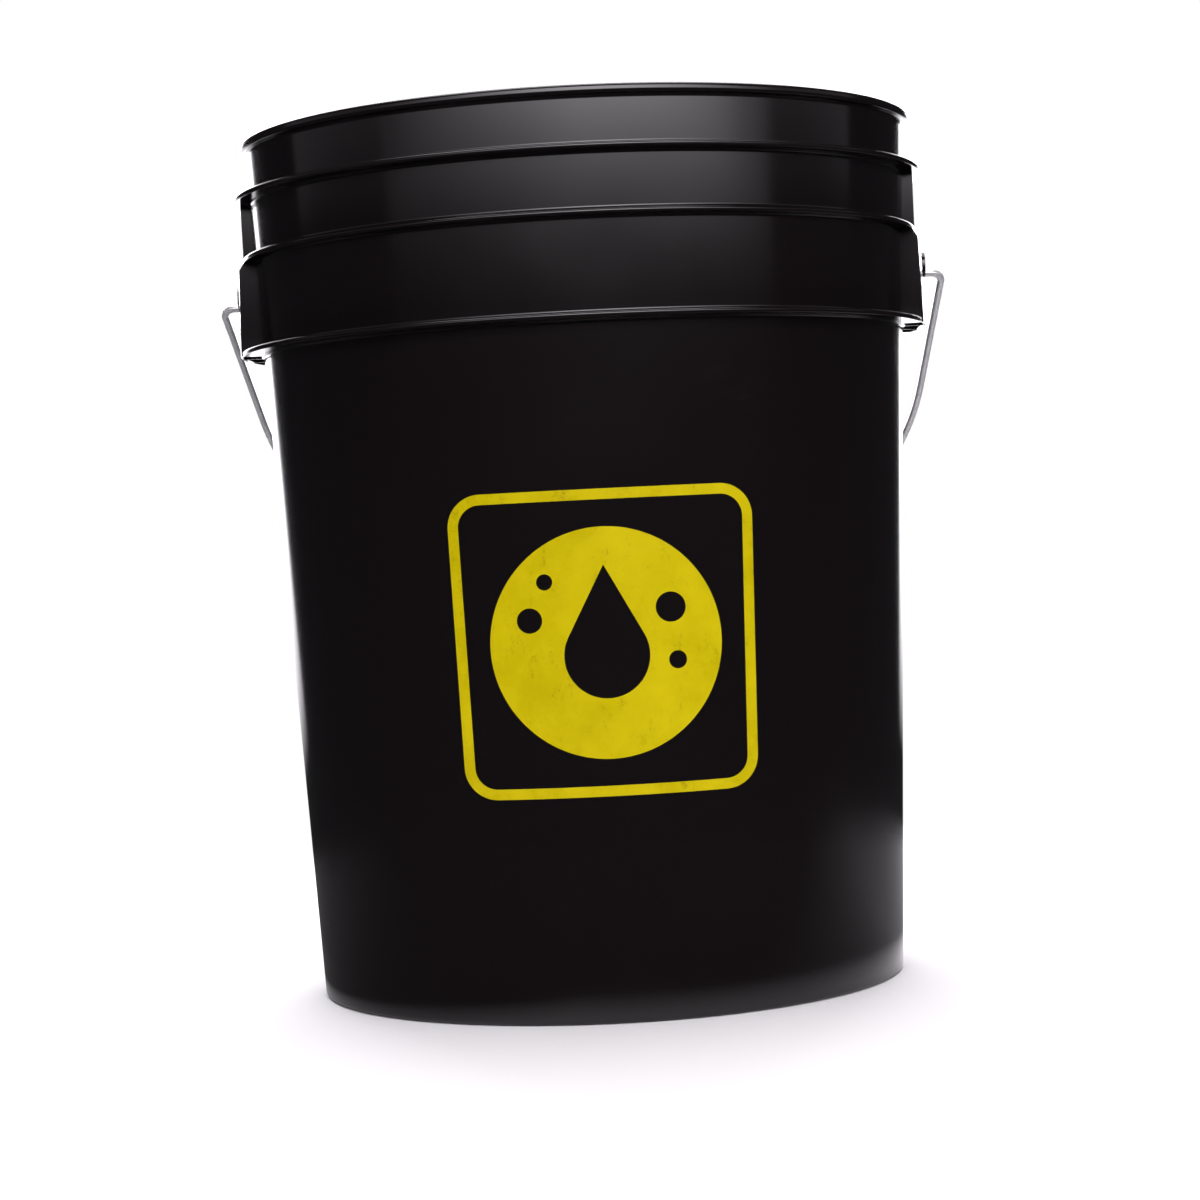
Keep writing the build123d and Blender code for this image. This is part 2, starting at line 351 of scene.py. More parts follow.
def end_tree(tree, given, geometry):
    """Ends a tree as each one here ends: real geometry, smooth, with its material."""
    real = node(tree, "GeometryNodeRealizeInstances", None, {"Geometry": geometry})
    smooth = node(tree, "GeometryNodeSetShadeSmooth", None, {0: real})
    finish = {"Geometry": smooth, "Material": given.out("Material")}
    dressed = node(tree, "GeometryNodeSetMaterial", None, finish)
    tree.links.new(dressed.socket, tree.nodes.new("NodeGroupOutput").inputs["Geometry"])


turning, given = new_tree(
    "turn_a_section",
    [
        ("Columns", "NodeSocketInt", 288),
        ("Pocket Angle", "NodeSocketFloat", 0.0),
        ("Pocket Half Width", "NodeSocketFloat", 0.0),
        ("Material", "NodeSocketMaterial", None),
    ],
)
section = given.out("Geometry")
columns = given.out("Columns")
rows = node(turning, "GeometryNodeAttributeDomainSize", None, {"Geometry": section}, "Point Count")
grid = node(turning, "GeometryNodeMeshGrid", None, {"Vertices X": columns + 1, "Vertices Y": rows}, "Mesh")
index = node(turning, "GeometryNodeInputIndex")
row = index.sum("MODULO", index, rows)
angle = index.sum("FLOOR", index / rows) / columns * (2 * pi)
from_ear = angle.sum("WRAP", angle, pi / 2)
join(turning, from_ear.socket.node.inputs[2], -pi / 2)
pocket_angle = given.out("Pocket Angle")
beside_pocket = abs(abs(from_ear) - pocket_angle) < 2 * pi / columns
in_pocket = abs(from_ear) < pocket_angle


def from_section(kind, value, out=0):
    """A value read from the section's point in this row."""
    return node(
        turning,
        "GeometryNodeSampleIndex",
        {"data_type": kind, "domain": "POINT"},
        {"Geometry": section, "Value": value, "Index": row},
        out,
    )


spot = from_section("FLOAT_VECTOR", node(turning, "GeometryNodeInputPosition"))
parts = node(turning, "ShaderNodeSeparateXYZ", None, {"Vector": spot})
inner = node(turning, "GeometryNodeInputNamedAttribute", {"data_type": "FLOAT"}, {"Name": "pocket_radius"})
inner_radius = from_section("FLOAT", inner)
edge_radius = angle.sum("MAXIMUM", parts.out("X"), BASE_RADIUS)
edge_angle = angle.sum("ARCSINE", given.out("Pocket Half Width") / edge_radius)
snapped = angle - from_ear + angle.sum("SIGN", from_ear) * edge_angle
final_angle = angle + (snapped - angle) * beside_pocket
final_radius = parts.out("X") + (inner_radius - parts.out("X")) * in_pocket
turned_place = node(
    turning,
    "ShaderNodeCombineXYZ",
    None,
    {
        "X": final_radius * final_radius.sum("COSINE", final_angle),
        "Y": final_radius * final_radius.sum("SINE", final_angle),
        "Z": parts.out("Z"),
    },
)
placed = node(turning, "GeometryNodeSetPosition", None, {"Geometry": grid, "Position": turned_place})
closed = node(turning, "GeometryNodeMergeByDistance", None, {"Geometry": placed, "Distance": 0.00001})
end_tree(turning, given, closed)
print("the turning tree has", len(turning.nodes), "nodes")

# %% From a tree to a plain mesh
def chain(name, points, values=None):
    """An object whose mesh is a chain of points, with one named number on each if given."""
    mesh = bpy.data.meshes.new(name)
    mesh.from_pydata(points, [(at, at + 1) for at in range(len(points) - 1)], [])
    for label, numbers in (values or {}).items():
        mesh.attributes.new(label, "FLOAT", "POINT").data.foreach_set("value", numbers)
    made = bpy.data.objects.new(name, mesh)
    bpy.context.collection.objects.link(made)
    return made


def drawn_mesh(piece):
    """A new mesh of what an object's curve or modifiers draw."""
    bpy.context.view_layer.update()
    return bpy.data.meshes.new_from_object(piece.evaluated_get(bpy.context.evaluated_depsgraph_get()))


def take(piece):
    """Gives an object the mesh that its modifiers draw, in place of the modifiers."""
    mesh = drawn_mesh(piece)
    piece.modifiers.clear()
    piece.data = mesh
    mesh.name = piece.name
    return mesh


def settle(piece, sharp=35):
    """Turns what the modifiers draw into a plain mesh whose faces point outwards."""
    mesh = take(piece)
    work = bmesh.new()
    work.from_mesh(mesh)
    bmesh.ops.dissolve_degenerate(work, dist=0.000002, edges=work.edges)
    if work.calc_volume(signed=True) < 0:
        bmesh.ops.reverse_faces(work, faces=work.faces)
    ragged = sum(not edge.is_manifold for edge in work.edges)
    volume = work.calc_volume(signed=True)
    work.to_mesh(mesh)
    work.free()
    mesh.set_sharp_from_angle(angle=radians(sharp))
    print(piece.name, len(mesh.polygons), "faces,", ragged, "open edges,", round(volume * 1e6, 2), "ml")
    return piece


def grow(piece, tree, **values):
    """Gives an object a tree, sets its inputs by the sockets' identifiers, and settles it."""
    modifier = piece.modifiers.new(tree.name, "NODES")
    modifier.node_group = tree
    for item in tree.interface.items_tree:
        label = item.name.replace(" ", "_")
        if item.in_out == "INPUT" and label in values:
            modifier[item.identifier] = values[label]
    return settle(piece)


# %% [markdown]
# ## The shell
# The shell's section starts at the middle of the floor, climbs the inside, rolls over the rim,
# runs down past the three rings to the foot, and comes back under the floor, past the rib ring and
# the hub. Inside the two hook pockets the lowest ring is missing, so each point of the section
# also carries the radius that it has there.

# %% Turn the shell
def shell_corners():
    """The section's corners as (radius, height, bend)."""
    rim_under = HEIGHT - RIM_DEPTH
    corners = [
        (0.0, FLOOR_TOP),
        (wall_radius(FLOOR_TOP) - WALL, FLOOR_TOP, 0.008),
        (TOP_RADIUS - WALL, HEIGHT, WALL / 3),
        (RIM_RADIUS, HEIGHT, 0.0013),
        (RIM_RADIUS, rim_under, 0.0013),
        (wall_radius(rim_under), rim_under, 0.0012),
    ]
    for ring in RINGS:
        top = ring[0] + RING_THICKNESS / 2
        bottom = ring[0] - RING_THICKNESS / 2
        corners += [
            (wall_radius(top), top, 0.0012),
            (ring_radius(ring), top, 0.001),
            (ring_radius(ring) - RING_LEAN, bottom, 0.0006),
            (wall_radius(bottom), bottom, 0.0012),
        ]
    corners += [
        (BASE_RADIUS, 0.0, 0.0015),
        (FOOT_INNER, 0.0, 0.001),
        (FOOT_INNER - 0.001, FOOT_HEIGHT, 0.001),
    ]
    for radius, height in (
        (RIB_RING + 0.001, FOOT_HEIGHT),
        (RIB_RING + 0.001, RIB_FOOT),
        (RIB_RING - 0.001, RIB_FOOT),
        (RIB_RING - 0.001, FOOT_HEIGHT),
        (HUB_RADIUS, FOOT_HEIGHT),
        (HUB_RADIUS, RIB_FOOT),
    ):
        corners.append((radius, height, 0.0004))
    return corners + [(0.0, RIB_FOOT)]


def pocket_radius(point):
    """The radius inside a hook pocket: the lowest ring is cut back to the wall there."""
    if abs(point.y - RINGS[2][0]) < 0.004 and point.x > wall_radius(point.y):
        return wall_radius(point.y)
    return point.x


outline = rounded(shell_corners())
inside_pocket = {"pocket_radius": [pocket_radius(point) for point in outline]}
shell = chain("bucket_shell", [(point.x, 0, point.y) for point in outline], inside_pocket)
grow(
    shell,
    turning,
    Columns=288,
    Pocket_Angle=asin(POCKET_HALF_WIDTH / ring_radius(RINGS[2])),
    Pocket_Half_Width=POCKET_HALF_WIDTH,
    Material=body_plastic,
)

# %% [markdown]
# ## The ears
# Each ear is a block moulded between the middle and the lowest ring, with a pad round the wire's
# hole and a pocket behind its face where the wire's hook sits. A slice of a turned solid gives the
# curved face. The pocket and the hole are then cut out with Booleans, as a core in the mould does,
# and a small bevel gives the edges the softness of a moulding. The flanks lean a little, so that
# the ear would leave its mould, and the flat faces keep their own shading up to the bevels.

# %% Shape one ear
def solid(name, loops):
    """A closed mesh from loops of points, joined one to the next and capped."""
    work = bmesh.new()
    rings_of_points = [[work.verts.new(point) for point in loop] for loop in loops]
    count = len(loops[0])
    for first, second in zip(rings_of_points, rings_of_points[1:]):
        for at in range(count):
            work.faces.new((first[at], first[(at + 1) % count], second[(at + 1) % count], second[at]))
    work.faces.new(rings_of_points[0][::-1])
    work.faces.new(rings_of_points[-1])
    bmesh.ops.recalc_face_normals(work, faces=work.faces)
    mesh = bpy.data.meshes.new(name)
    work.to_mesh(mesh)
    work.free()
    made = bpy.data.objects.new(name, mesh)
    bpy.context.collection.objects.link(made)
    return made


def carve(piece, tool, operation):
    """Joins or cuts with another solid, which is then thrown away."""
    modifier = piece.modifiers.new("carve", "BOOLEAN")
    modifier.operation = operation
    modifier.solver = "EXACT"
    modifier.object = tool
    take(piece)
    bpy.data.objects.remove(tool, do_unlink=True)


EAR_HALF_ANGLE = radians(11.8)
EAR_SHOULDER = 0.0045
HOLE_RADIUS = 0.00168
PAD_FACE = 0.15112
OVERLAP = 0.0011
middle_height = RINGS[1][0]
ear_bottom = RINGS[2][0] - RING_THICKNESS / 2
ear_corners = [
    (wall_radius(middle_height) - OVERLAP, middle_height, 0.0001),
    (ring_radius(RINGS[1]) - 0.0009, middle_height, 0.0009),
    (ring_radius(RINGS[1]) + 0.0019, middle_height - EAR_SHOULDER, EAR_SHOULDER / 2),
    (ring_radius(RINGS[2]) + 0.0003, ear_bottom, 0.0009),
    (wall_radius(ear_bottom) - OVERLAP, ear_bottom, 0.0001),
]
ear_outline = rounded(ear_corners, steps=6, beside=0, closed=True)
EAR_MIDDLE = 0.3
DRAFT = radians(2.6)
slices = []
for step in range(25):
    share = step / 12 - 1
    loop = []
    for point in ear_outline:
        way = share * (EAR_HALF_ANGLE + tan(DRAFT) * (point.y - EAR_MIDDLE) / point.x)
        loop.append((point.x * cos(way), point.x * sin(way), point.y))
    slices.append(loop)
ears = solid("bucket_ears", slices)

pad_corners = [(across * 0.007, up * 0.0054, 0.0045) for across, up in ((-1, -1), (1, -1), (1, 1), (-1, 1))]
pad_outline = rounded(pad_corners, steps=8, beside=0, closed=True)
pad_height = PIVOT_HEIGHT + 0.0034
pad = solid("pad", [[(x, p.x, pad_height + p.y) for p in pad_outline] for x in (POCKET_FACE, PAD_FACE)])
carve(ears, pad, "UNION")
low, high = RINGS[2][0] - 0.0099, PIVOT_HEIGHT + POCKET_HALF_WIDTH
left, right = -POCKET_HALF_WIDTH, POCKET_HALF_WIDTH
pocket_loop = [(left, low), (right, low), (right, high), (left, high)]
pocket = solid("pocket", [[(x, y, z) for y, z in pocket_loop] for x in (0.12, POCKET_FACE)])
carve(ears, pocket, "DIFFERENCE")
hole_points = []
for at in range(40):
    angle_here = 2 * pi * at / 40
    hole_points.append((HOLE_RADIUS * cos(angle_here), PIVOT_HEIGHT + HOLE_RADIUS * sin(angle_here)))
hole = solid("hole", [[(x, y, z) for y, z in hole_points] for x in (0.142, 0.16)])
carve(ears, hole, "DIFFERENCE")

# %% Make it a pair
def soften(piece, width, segments=2):
    """A small bevel on every hard edge."""
    modifier = piece.modifiers.new("soften", "BEVEL")
    modifier.width = width
    modifier.segments = segments
    modifier.limit_method = "ANGLE"
    modifier.angle_limit = radians(40)
    modifier.use_clamp_overlap = True


def even(piece):
    """Lets each broad face set the shading right up to its softened edges."""
    modifier = piece.modifiers.new("even", "WEIGHTED_NORMAL")
    modifier.weight = 100
    modifier.keep_sharp = True
    take(piece)
    return piece


def pair(piece):
    """Adds the same shape turned half way round the axis."""
    work = bmesh.new()
    work.from_mesh(piece.data)
    twin = bmesh.ops.duplicate(work, geom=work.verts[:] + work.edges[:] + work.faces[:])["geom"]
    corners = [part for part in twin if isinstance(part, bmesh.types.BMVert)]
    bmesh.ops.rotate(work, verts=corners, cent=(0, 0, 0), matrix=Matrix.Rotation(pi, 3, "Z"))
    work.to_mesh(piece.data)
    work.free()


pair(ears)
soften(ears, 0.00028)
settle(ears)
ears.data.materials.clear()
ears.data.materials.append(body_plastic)
even(ears)

# %% [markdown]
# ## Ribs
# Ribs repeat, so one tree makes them all: it puts a bar on each point that it is given, turned by
# that point's own angle. It makes the two stay ribs above each ear, and the eight ribs that
# stiffen the underside of the floor.

# %% The rib tree
ribbing, given = new_tree(
    "ribs",
    [
        ("Length", "NodeSocketFloat", 0.01),
        ("Thickness", "NodeSocketFloat", 0.002),
        ("Height", "NodeSocketFloat", 0.01),
        ("Material", "NodeSocketMaterial", None),
    ],
)
bar_size = node(
    ribbing,
    "ShaderNodeCombineXYZ",
    None,
    {"X": given.out("Length"), "Y": given.out("Thickness"), "Z": given.out("Height")},
)
bar = node(ribbing, "GeometryNodeMeshCube", None, {"Size": bar_size}, "Mesh")
turn = node(ribbing, "GeometryNodeInputNamedAttribute", {"data_type": "FLOAT"}, {"Name": "turn"})
lean = node(ribbing, "GeometryNodeInputNamedAttribute", {"data_type": "FLOAT"}, {"Name": "lean"})
heading = node(ribbing, "ShaderNodeCombineXYZ", None, {"X": lean, "Z": turn})
heading = node(ribbing, "FunctionNodeEulerToRotation", None, {0: heading})
bars = node(
    ribbing,
    "GeometryNodeInstanceOnPoints",
    None,
    {"Points": given.out("Geometry"), "Instance": bar, "Rotation": heading},
)
end_tree(ribbing, given, bars)


def ribs(name, places, length, thickness, height):
    """Bars at places (x, y, z, turn, lean), softened along their edges."""
    angles = {"turn": [place[3] for place in places], "lean": [place[4] for place in places]}
    made = chain(name, [place[:3] for place in places], angles)
    grow(made, ribbing, Length=length, Thickness=thickness, Height=height, Material=body_plastic)
    soften(made, 0.0003)
    return even(settle(made))


# %% Place the ribs
STAY_OFFSET = 0.016
STAY_THICKNESS = 0.002
stay_out = ring_radius(RINGS[1]) - 0.0003
stay_side = STAY_OFFSET + STAY_THICKNESS / 2
stay_outer = (stay_out**2 - stay_side**2) ** 0.5
stay_inner = (wall_radius(RINGS[1][0]) ** 2 - stay_side**2) ** 0.5 - 0.001
stay_middle = (RINGS[0][0] + RINGS[1][0]) / 2
stay_spots = []
for side in (-1, 1):
    for across in (-STAY_OFFSET, STAY_OFFSET):
        lean_out = DRAFT if across < 0 else -DRAFT
        stay_spots.append((side * (stay_outer + stay_inner) / 2, across, stay_middle, 0.0, lean_out))
stays = ribs("stay_ribs", stay_spots, stay_outer - stay_inner, STAY_THICKNESS, RINGS[0][0] - RINGS[1][0])

RIB_LENGTH = 0.1065
RIB_MIDDLE = 0.0665
base_spots = []
for at in range(8):
    heading_here = pi / 4 * at
    across, up = RIB_MIDDLE * cos(heading_here), RIB_MIDDLE * sin(heading_here)
    base_spots.append((across, up, 0.0038, heading_here, 0.0))
base_ribs = ribs("base_ribs", base_spots, RIB_LENGTH, 0.002, 0.0036)

# %% [markdown]
# ## The bail
# The bail is one wire bent on a jig: a hook behind each ear, a straight root out through the hole,
# a long arm, a knee, and a shoulder that leads into the grip. Its middle line is drawn as straight
# runs joined by arcs, in the bail's own plane, and a tree carries a round section along it. The
# tree also stores how far along and which way round each point lies, for the drawn finish.

# %% The wire's tree
drawing, given = new_tree(
    "drawn_wire",
    [
        ("Radius", "NodeSocketFloat", 0.0016),
        ("Sides", "NodeSocketInt", 24),
        ("Material", "NodeSocketMaterial", None),
    ],
)
line = node(drawing, "GeometryNodeMeshToCurve", None, {0: given.out("Geometry")})
length_here = node(drawing, "GeometryNodeSplineParameter", out="Length")
line = node(
    drawing,
    "GeometryNodeStoreNamedAttribute",
    {"data_type": "FLOAT", "domain": "POINT"},
    {"Geometry": line, "Name": "along", "Value": length_here},
)
round_section = node(
    drawing,
    "GeometryNodeCurvePrimitiveCircle",
    None,
    {"Resolution": given.out("Sides"), "Radius": given.out("Radius")},
)
position = node(drawing, "GeometryNodeInputPosition")
way = node(drawing, "ShaderNodeVectorMath", {"operation": "NORMALIZE"}, {0: position})
round_section = node(
    drawing,
    "GeometryNodeStoreNamedAttribute",
    {"data_type": "FLOAT_VECTOR", "domain": "POINT"},
    {"Geometry": round_section, "Name": "around", "Value": way},
)
wire_mesh = node(
    drawing,
    "GeometryNodeCurveToMesh",
    None,
    {"Curve": line, "Profile Curve": round_section, "Fill Caps": True},
)
end_tree(drawing, given, wire_mesh)

# %% Bend the wire
HANG = radians(51.3646)
HOOK_X = 0.14522
ARM_X = 0.15902
half_corners = [
    (HOOK_X, 0.009),
    (HOOK_X, 0.0, 0.0025),
    (ARM_X, 0.0, 0.005),
    (0.15033, 0.09545, 0.17995),
    (0.12056, 0.18708, 0.104),
]
mirrored = [(-corner[0], *corner[1:]) for corner in half_corners[::-1]]
flat_line = rounded(half_corners + mirrored, steps=14, beside=0)


def on_bail(across, reach):
    """A point of the bail's plane, which hangs back from the ears."""
    return (across, reach * sin(HANG), PIVOT_HEIGHT - reach * cos(HANG))


bail = chain("bail_wire_drawn", [on_bail(point.x, point.y) for point in flat_line])
grow(bail, drawing, Radius=WIRE_RADIUS, Sides=24, Material=wire_finish)

# %% [markdown]
# ## The grip
# The grip is a hard plastic sleeve with a shallow hollow for each finger, turned about the wire.
# The turning tree makes it from its own section, and the finished mesh is then laid along X.

# %% Turn the grip
GRIP_CENTRE = (0.0, 0.146136, 0.186093)
GRIP_HALF = 0.044
GRIP_RADIUS = 0.010
BORE = 0.00169
GROOVE_WIDTH, GROOVE_DEPTH = 0.017, 0.0012
groove_round = (GROOVE_WIDTH**2 / 4 + GROOVE_DEPTH**2) / (2 * GROOVE_DEPTH)


def end_cap(side):
    """One end of the grip, from the bore to its outside."""
    return rounded(
        [
            (BORE, side * (GRIP_HALF - 0.003)),
            (BORE, side * GRIP_HALF, 0.0004),
            (GRIP_RADIUS, side * GRIP_HALF, 0.003),
            (GRIP_RADIUS, side * (GRIP_HALF - 0.0062)),
        ],
        steps=6,
        beside=0,
    )


hollows = []
for number in range(4):
    middle = (number - 1.5) * (GROOVE_WIDTH + 0.002)
    for step in range(17):
        off = GROOVE_WIDTH * (step / 16 - 0.5)
        lift = (groove_round**2 - off**2) ** 0.5
        hollows.append(Vector((GRIP_RADIUS - GROOVE_DEPTH + groove_round - lift, middle + off)))
grip_outline = end_cap(-1) + hollows + end_cap(1)[::-1]
grip_outline.append(grip_outline[0])
same_radius = {"pocket_radius": [point.x for point in grip_outline]}
grip = chain("grip_turned", [(point.x, 0, point.y) for point in grip_outline], same_radius)
grow(grip, turning, Columns=72, Material=grip_plastic)
grip.data.transform(Matrix.Translation(GRIP_CENTRE) @ Matrix.Rotation(pi / 2, 4, "Y"))

# %% [markdown]
# ## The badge
# The badge is a picture of this bucket's job: a drop of water and a few bubbles, left black inside
# a yellow disc, in a rounded yellow frame. It is drawn flat as closed outlines, filled, cut into
# narrow strips, and then a tree lays it on the cone as a film of ink with a real edge.

# %% Draw the artwork flat
BADGE_TURN = radians(3.1)
BADGE_CENTRE = 0.152
BADGE_HALF = 0.0609
LINE = 0.0042


def ring_of(across, up, radius, steps=64):
    """A circle as a loop of points."""
    turns = [2 * pi * at / steps for at in range(steps)]
    return [(across + radius * cos(turn), up + radius * sin(turn)) for turn in turns]


def frame_loop(inset, bend):
    """The frame's outline, drawn in by an inset."""
    loop = []
    for side, up in ((-1, -1), (1, -1), (1, 1), (-1, 1)):
        across = wall_radius(BADGE_CENTRE + up * BADGE_HALF) * sin(radians(26.45)) - inset
        loop.append((side * across, up * (BADGE_HALF - inset), bend))
    return [tuple(point) for point in rounded(loop, steps=12, beside=0, closed=True)]


drop_radius, drop_tip, drop_low = 0.017, 0.036, -0.005
touch = asin(drop_radius / drop_tip)
drop = [(0.0, drop_low + drop_tip)]
for step in range(49):
    way_round = pi - touch + (pi + 2 * touch) * step / 48
    drop.append((drop_radius * cos(way_round), drop_low + drop_radius * sin(way_round)))
bubbles = [(-0.030, 0.010, 0.005), (-0.0235, 0.025, 0.0032), (0.028, -0.008, 0.0036), (0.026, 0.013, 0.006)]
loops = [frame_loop(0.0, 0.013), frame_loop(LINE, 0.013 - LINE), ring_of(0, 0, 0.046, 160), drop]
loops += [ring_of(*bubble, 40) for bubble in bubbles]

drawing_board = bpy.data.curves.new("artwork", "CURVE")
drawing_board.dimensions = "2D"
drawing_board.fill_mode = "BOTH"
for loop in loops:
    spline = drawing_board.splines.new("POLY")
    spline.points.add(len(loop) - 1)
    spline.points.foreach_set("co", [value for across, up in loop for value in (across, up, 0, 1)])
    spline.use_cyclic_u = True
board = bpy.data.objects.new("artwork", drawing_board)
bpy.context.collection.objects.link(board)
flat = drawn_mesh(board)
bpy.data.objects.remove(board, do_unlink=True)
work = bmesh.new()
work.from_mesh(flat)
bmesh.ops.remove_doubles(work, verts=work.verts, dist=0.000001)
bmesh.ops.dissolve_limit(work, angle_limit=radians(0.5), verts=work.verts, edges=work.edges)
for cut in range(-24, 25):
    everything = work.verts[:] + work.edges[:] + work.faces[:]
    bmesh.ops.bisect_plane(work, geom=everything, plane_co=(cut * 0.0025, 0, 0), plane_no=(1, 0, 0))
for face in work.faces:
    if face.normal.z < 0:
        face.normal_flip()
work.to_mesh(flat)
work.free()
badge = bpy.data.objects.new("badge_print", flat)
bpy.context.collection.objects.link(badge)
print("flat artwork has", len(flat.polygons), "faces")

# %% Lay it on the cone
laying, given = new_tree(
    "film_on_a_cone",
    [
        ("Centre Height", "NodeSocketFloat", 0.152),
        ("Turn", "NodeSocketFloat", 0.0),
        ("Film", "NodeSocketFloat", 0.00015),
        ("Material", "NodeSocketMaterial", None),
    ],
)
flat_art = given.out("Geometry")
raised = node(
    laying,
    "GeometryNodeExtrudeMesh",
    {"mode": "FACES"},
    {"Mesh": flat_art, "Offset": (0, 0, 1), "Offset Scale": 1.0, "Individual": False},
    "Mesh",
)
under = node(laying, "GeometryNodeFlipFaces", None, {"Mesh": flat_art})
both = laying.nodes.new("GeometryNodeJoinGeometry")
laying.links.new(raised.socket, both.inputs[0])
laying.links.new(under.socket, both.inputs[0])
joined = Flow(laying, both.outputs[0])
film = node(laying, "GeometryNodeMergeByDistance", None, {"Geometry": joined, "Distance": 0.000001})
here = node(laying, "ShaderNodeSeparateXYZ", None, {"Vector": node(laying, "GeometryNodeInputPosition")})
height_here = given.out("Centre Height") + here.out("Y")
slope = (TOP_RADIUS - BASE_RADIUS) / HEIGHT
radius_here = height_here * slope + BASE_RADIUS + 0.00001 + here.out("Z") * given.out("Film")
way_here = given.out("Turn") + here.sum("ARCSINE", here.out("X") / radius_here)
on_cone = node(
    laying,
    "ShaderNodeCombineXYZ",
    None,
    {
        "X": radius_here * here.sum("SINE", way_here),
        "Y": radius_here * here.sum("COSINE", way_here) * -1.0,
        "Z": height_here,
    },
)
laid = node(laying, "GeometryNodeSetPosition", None, {"Geometry": film, "Position": on_cone})
end_tree(laying, given, laid)
grow(badge, laying, Centre_Height=BADGE_CENTRE, Turn=BADGE_TURN, Film=0.00015, Material=ink)

# %% [markdown]
# ## Putting it together
# Each finished piece rides the imported body that it belongs to, so it follows the joints, and the
# imported node that it stands for is hidden.

# %% Ride the bodies
for piece, body, slot, stands_for in (
    (shell, "bucket", "body_plastic", ["bucket_body"]),
    (ears, "bucket", "body_plastic", []),
    (stays, "bucket", "body_plastic", []),
    (base_ribs, "bucket", "body_plastic", []),
    (badge, "bucket", "badge_ink", ["printed_badge"]),
    (bail, "bail", "wire", ["bail_wire"]),
    (grip, "grip", "grip_plastic", ["bail_grip"]),
):
    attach(piece, body)
    if stands_for:
        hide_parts(*stands_for)

# %% [markdown]
# ## The studio
# Black plastic shows the room more than its own colour, so the lights are placed for what they
# reflect. A wide soft box high in front puts one broad highlight on the upper band, which fades
# down the wall, and two weak boxes lift the same band toward each side. A white screen behind
# draws the bright edge down each side. Everything low in front stays dark. The floor is white to
# the camera, but in the gloss it is painted dark beyond a few centimetres from the foot: painted
# shade in the bucket's reflections, so the pale floor shows there only close to the foot and a
# little more at its right.

# %% Floor
def floor_disc(radius, segments=128):
    """A round floor."""
    work = bmesh.new()
    bmesh.ops.create_circle(work, cap_ends=True, segments=segments, radius=radius)
    mesh = bpy.data.meshes.new("floor")
    work.to_mesh(mesh)
    work.free()
    made = bpy.data.objects.new("floor", mesh)
    bpy.context.collection.objects.link(made)
    return made


FLOOR_RADIUS = 0.62
floor = floor_disc(FLOOR_RADIUS)
floor.location.z = -0.0003
floor_paint, tree, shader, place = new_material("floor_paint")
shader.inputs["Roughness"].default_value = 0.9
shader.inputs["Specular IOR Level"].default_value = 0.0
from_middle = node(tree, "ShaderNodeVectorMath", {"operation": "LENGTH"}, {0: place}, "Value")
spot = node(tree, "ShaderNodeSeparateXYZ", None, {"Vector": place})
# Painted shade in reflections: to glossy rays the floor turns dark from a few centimetres out from the foot,
# a little less behind and to the right. The camera sees it white.
painted_shade_by_side = spread(tree, spot.out("X"), -0.2, 0.2, 0.97, 0.80)
painted_shade_front_to_back = spread(tree, spot.out("Y"), -0.15, 0.05, 1.0, painted_shade_by_side)
in_gloss = node(tree, "ShaderNodeLightPath", out="Is Glossy Ray")
painted_shade_distance = spread(tree, spot.out("X"), -0.15, -0.02, 0.035, 0.0) + from_middle
painted_dark_reflection = spread(tree, painted_shade_distance, BASE_RADIUS + 0.01, BASE_RADIUS + 0.05) * painted_shade_front_to_back
# The floor's colour: white to the camera, painted dark in the bucket's gloss by the mask above.
floor_white_with_painted_dark_reflection = blend_colour(tree, in_gloss * painted_dark_reflection, (0.88, 0.88, 0.88, 1.0), (0.02, 0.02, 0.02, 1.0))
join(tree, shader.inputs["Base Color"], floor_white_with_painted_dark_reflection)
fading = spread(tree, from_middle, FLOOR_RADIUS - 0.16, FLOOR_RADIUS - 0.01)
clear = node(tree, "ShaderNodeBsdfTransparent")
mixed = node(tree, "ShaderNodeMixShader", None, {0: fading, 1: Flow(tree, shader.outputs["BSDF"]), 2: clear})
join(tree, tree.nodes["Material Output"].inputs["Surface"], mixed)
floor.data.materials.append(floor_paint)

# %% Lights
def soft_box(name, watts, size, place, aim):
    """A rectangular soft light that is not itself seen by the camera."""
    data = bpy.data.lights.new(name, "AREA")
    data.shape = "RECTANGLE"
    data.size, data.size_y = size
    data.energy = watts
    data.color = (1.0, 0.965, 1.01)
    light = bpy.data.objects.new(name, data)
    light.location = place
    light.rotation_mode = "QUATERNION"
    light.rotation_quaternion = (Vector(aim) - Vector(place)).to_track_quat("-Z", "Y")
    light.visible_camera = False
    bpy.context.collection.objects.link(light)
    return light


def graded(light):
    """Gives a light nodes: its tree, and the place over its face, from 0 to 1 each way."""
    light.data.use_nodes = True
    tree = light.data.node_tree
    place = node(tree, "ShaderNodeNewGeometry", out="Parametric")
    return tree, node(tree, "ShaderNodeSeparateXYZ", None, {"Vector": place})


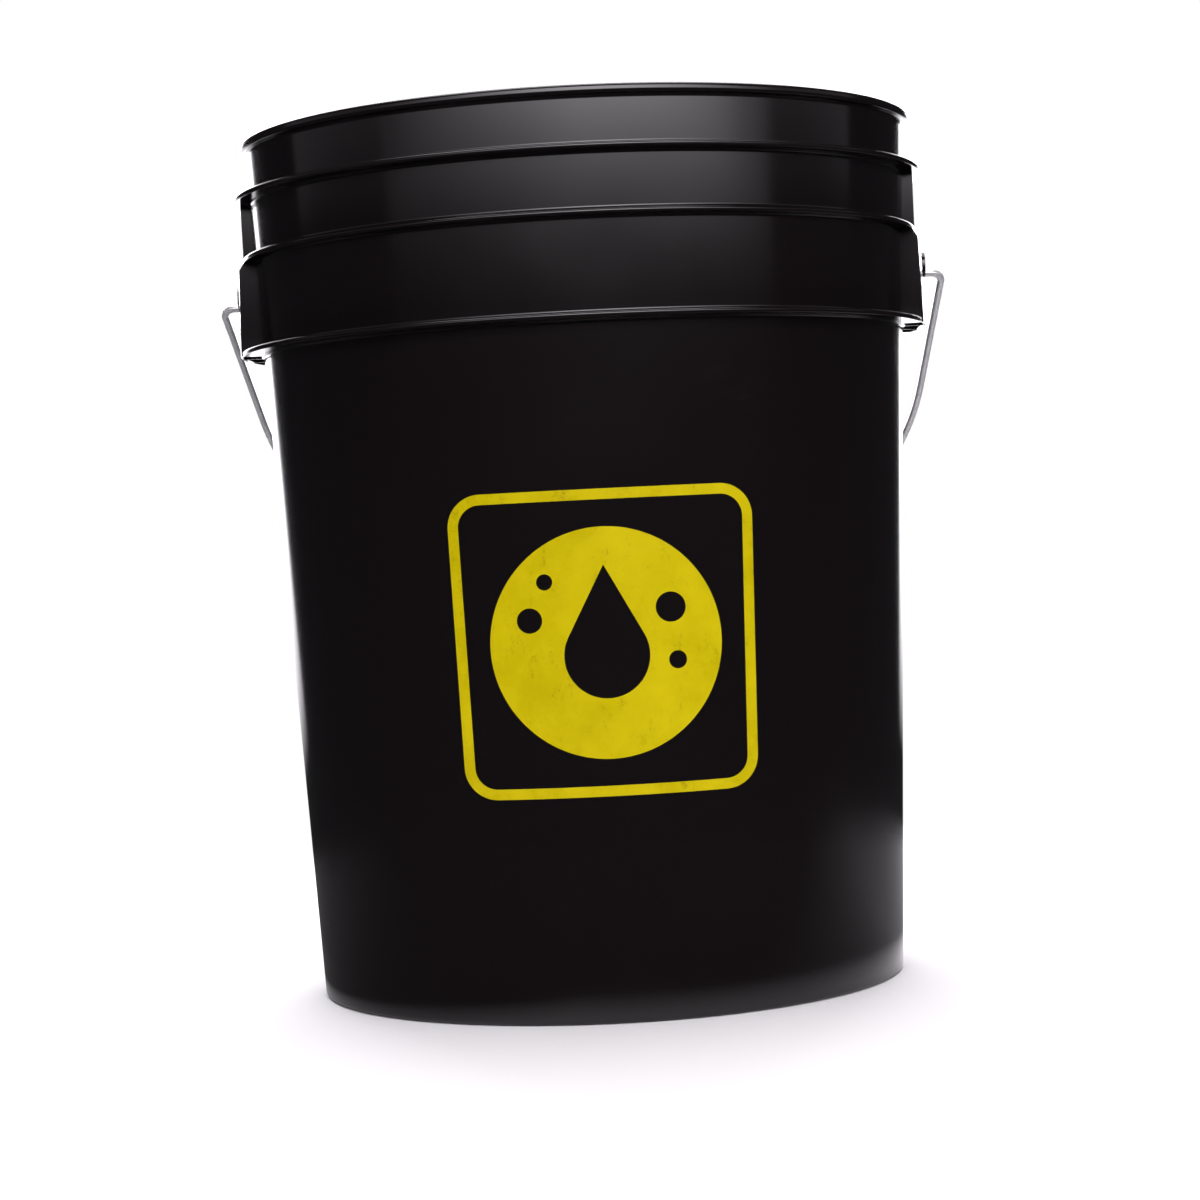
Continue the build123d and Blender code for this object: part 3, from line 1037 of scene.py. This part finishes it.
KEY_WIDTH = 8.0
KEY_OFF_MIDDLE = 0.35
key = soft_box("key", 154.0, (KEY_WIDTH, 0.8), (0.6, -1.5, 0.70), (0.6, 0.0, 0.70))
tree, over = graded(key)
aside = (over.out("X") - 0.5) * KEY_WIDTH + KEY_OFF_MIDDLE
aside = aside / spread(tree, aside, -0.3, 0.3, 0.8, 1.15)
off_middle = abs(over.out("X") - 0.5)
ends = spread(tree, off_middle, 0.15, 0.5, 1.0, 0.35) * spread(tree, off_middle, 0.42, 0.5, 1.0, 0.0)
rise = spread(tree, over.out("Y"), 0.03, 0.27)
join(tree, tree.nodes["Emission"].inputs["Strength"], rise * rise * ends / (aside * aside + 1.0))
soft_box("top", 34.0, (1.6, 1.6), (0.0, 0.1, 1.7), (0.0, 0.0, 0.0))
soft_box("right_side", 1.2, (2.2, 0.8), (2.6, -0.3, 0.93), (0.0, -0.3, 0.93))
soft_box("left_side", 1.0, (2.2, 0.8), (-2.6, -0.3, 0.93), (0.0, -0.3, 0.93))
screen = soft_box("screen", 42.0, (1.40, 1.5), (-0.11, 1.15, 0.62), (-0.11, 0.0, 0.62))
tree, over = graded(screen)
join(tree, tree.nodes["Emission"].inputs["Strength"], spread(tree, over.out("Y"), 0.08, 0.34))

world = bpy.data.worlds.new("studio")
bpy.context.scene.world = world
world.use_nodes = True
tree = world.node_tree
sky = tree.nodes["Background"]
seen = node(tree, "ShaderNodeLightPath", out="Is Camera Ray")
join(tree, sky.inputs["Color"], blend_colour(tree, seen, (0.02, 0.02, 0.021, 1.0), (1.0, 1.0, 1.0, 1.0)))
sky.inputs["Strength"].default_value = 1.0
bpy.context.scene.view_settings.view_transform = "Standard"

# %% Camera
DISTANCE, EYE_HEIGHT, SWING = 1.24, 0.1919, radians(1.7)
yaw, pitch, roll = 0.0013, -0.0207, radians(-2.82)
ahead = Vector((sin(yaw) * cos(pitch), cos(yaw) * cos(pitch), sin(pitch)))
right = ahead.cross(Vector((0, 0, 1))).normalized()
up = right.cross(ahead)
right, up = right * cos(roll) + up * sin(roll), up * cos(roll) - right * sin(roll)
facing = Matrix((right, up, -ahead)).transposed().to_4x4()
lens = bpy.data.cameras.new("camera")
lens.lens = 84.16
lens.sensor_width = 36.0
camera = bpy.data.objects.new("camera", lens)
bpy.context.collection.objects.link(camera)
camera.matrix_world = Matrix.Rotation(SWING, 4, "Z") @ Matrix.Translation((0, -DISTANCE, EYE_HEIGHT)) @ facing
bpy.context.scene.camera = camera
